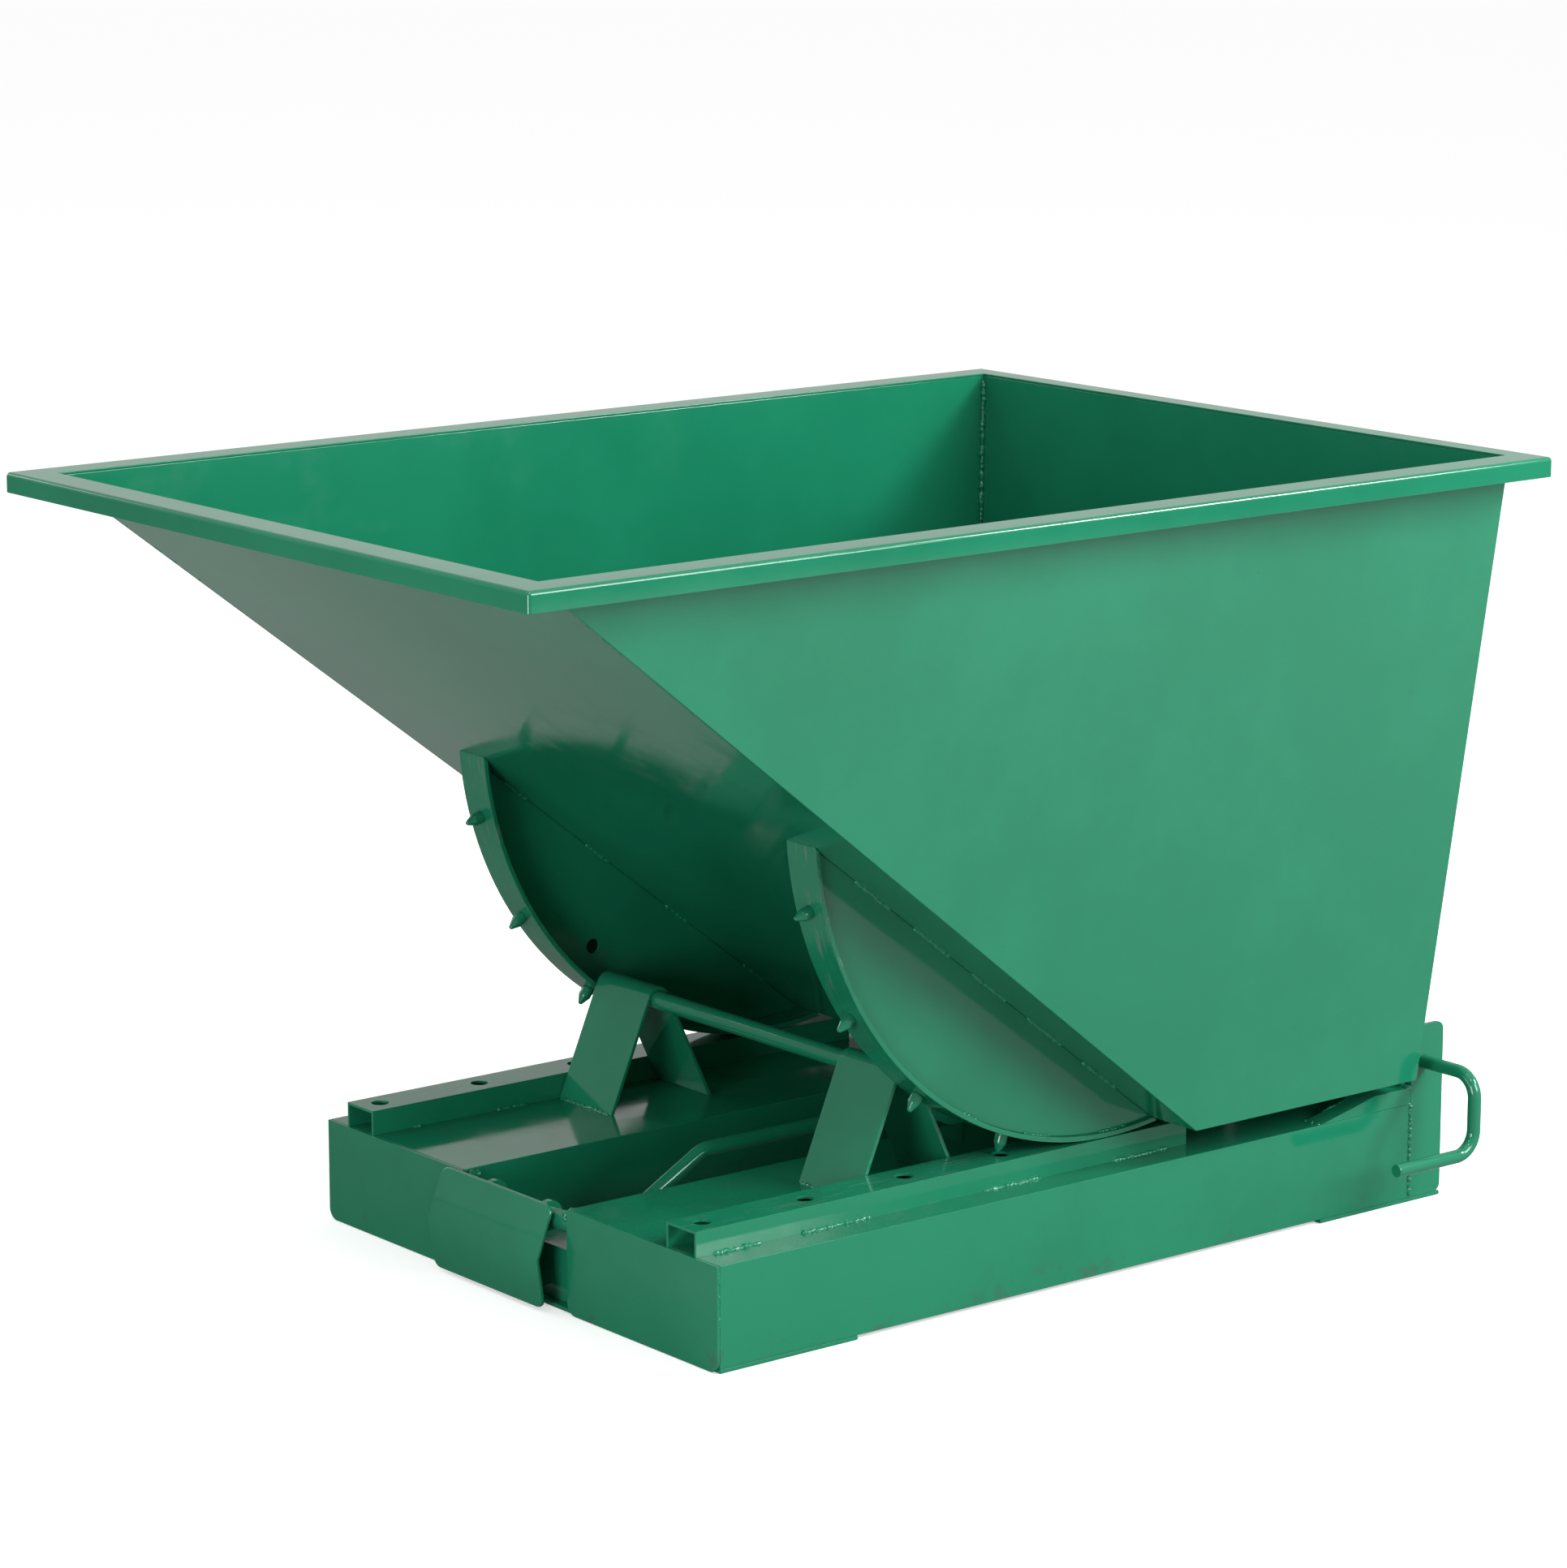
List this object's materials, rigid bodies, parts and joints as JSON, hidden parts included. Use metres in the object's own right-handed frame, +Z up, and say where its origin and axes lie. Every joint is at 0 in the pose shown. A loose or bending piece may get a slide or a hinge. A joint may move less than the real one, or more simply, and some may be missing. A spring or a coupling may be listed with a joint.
{
  "type": "self-tipping hopper",
  "caption": "Sheet steel hopper on round rockers that rolls forward on a fork-pocket base to tip, with a bump flap, push rod and hand release latch.",
  "frame": {"origin": "on the ground, at the middle of the object's outline", "axes": "+X to the handle's side, -Y to the tipping side, +Y to the fork entry side, +Z up"},
  "size_m": [1, 1.44, 0.9],
  "materials": {
    "hopper_paint": "gloss green paint on welded sheet steel",
    "frame_paint": "gloss green paint on folded sheet steel",
    "rail_paint": "gloss green paint, rubbed where the rockers roll",
    "stud_paint": "gloss green paint on turned studs",
    "gear_paint": "gloss green paint on the release gear"
  },
  "bodies": {
    "base_frame": {"front_base_strap": "frame_paint", "rear_base_strap": "frame_paint", "cross_bar": "frame_paint", "front_crossmember": "frame_paint", "middle_rod_guide": "frame_paint", "rear_rod_guide": "frame_paint", "rest_blocks": "frame_paint", "rest_plates": "frame_paint", "base_ramps": "frame_paint", "flap_pivot_tube": "frame_paint", "left_fork_channel": "frame_paint", "left_front_plate": "frame_paint", "left_rail": "rail_paint", "left_end_plate": "frame_paint", "left_stand": "frame_paint", "right_fork_channel": "frame_paint", "right_front_plate": "frame_paint", "right_rail": "rail_paint", "right_end_plate": "frame_paint", "right_stand": "frame_paint"},
    "roll_carriage": {"roll_center_plugs": "hopper_paint"},
    "hopper": {"hopper_left_wall": "hopper_paint", "hopper_right_wall": "hopper_paint", "hopper_floor": "hopper_paint", "hopper_sloped_front": "hopper_paint", "hopper_rear_wall": "hopper_paint", "latch_keeper": "hopper_paint", "front_rim": "hopper_paint", "right_rim": "hopper_paint", "rear_rim": "hopper_paint", "left_rim": "hopper_paint", "left_rocker_plate": "hopper_paint", "left_rocker_strip": "rail_paint", "left_studs": "stud_paint", "right_rocker_plate": "hopper_paint", "right_rocker_strip": "rail_paint", "right_studs": "stud_paint"},
    "release_shaft": {"release_handle": "gear_paint", "shaft_collars": "gear_paint", "latch_hook": "gear_paint", "latch_arm": "gear_paint"},
    "flap": {"bump_flap": "gear_paint", "flap_lugs": "gear_paint"},
    "push_rod": {"push_rod": "gear_paint"}
  },
  "joints": [
    {"name": "roll_slide", "type": "slide", "parent": "base_frame", "child": "roll_carriage", "axis": [0, -1, 0], "range_m": [0, 0.5649]},
    {"name": "hopper_tip", "type": "hinge", "parent": "roll_carriage", "child": "hopper", "pos_m": [0, 0.204, 0.5794], "axis": [1, 0, 0], "range_deg": [0, 75]},
    {"name": "release_turn", "type": "hinge", "parent": "base_frame", "child": "release_shaft", "pos_m": [0, 0.66798, 0.169], "axis": [1, 0, 0], "range_deg": [0, 14.6]},
    {"name": "flap_swing", "type": "hinge", "parent": "base_frame", "child": "flap", "pos_m": [0, -0.379, 0.101], "axis": [1, 0, 0], "range_deg": [0, 7.6]},
    {"name": "rod_slide", "type": "slide", "parent": "base_frame", "child": "push_rod", "axis": [0, 1, 0], "range_m": [0, 0.011]}
  ],
  "couplings": [
    {"joint": "roll_slide", "follows": "hopper_tip", "m_per_rad": 0.43},
    {"joint": "flap_swing", "follows": "release_turn", "ratio": 0.5137},
    {"joint": "rod_slide", "follows": "release_turn", "m_per_rad": 0.04252}
  ]
}
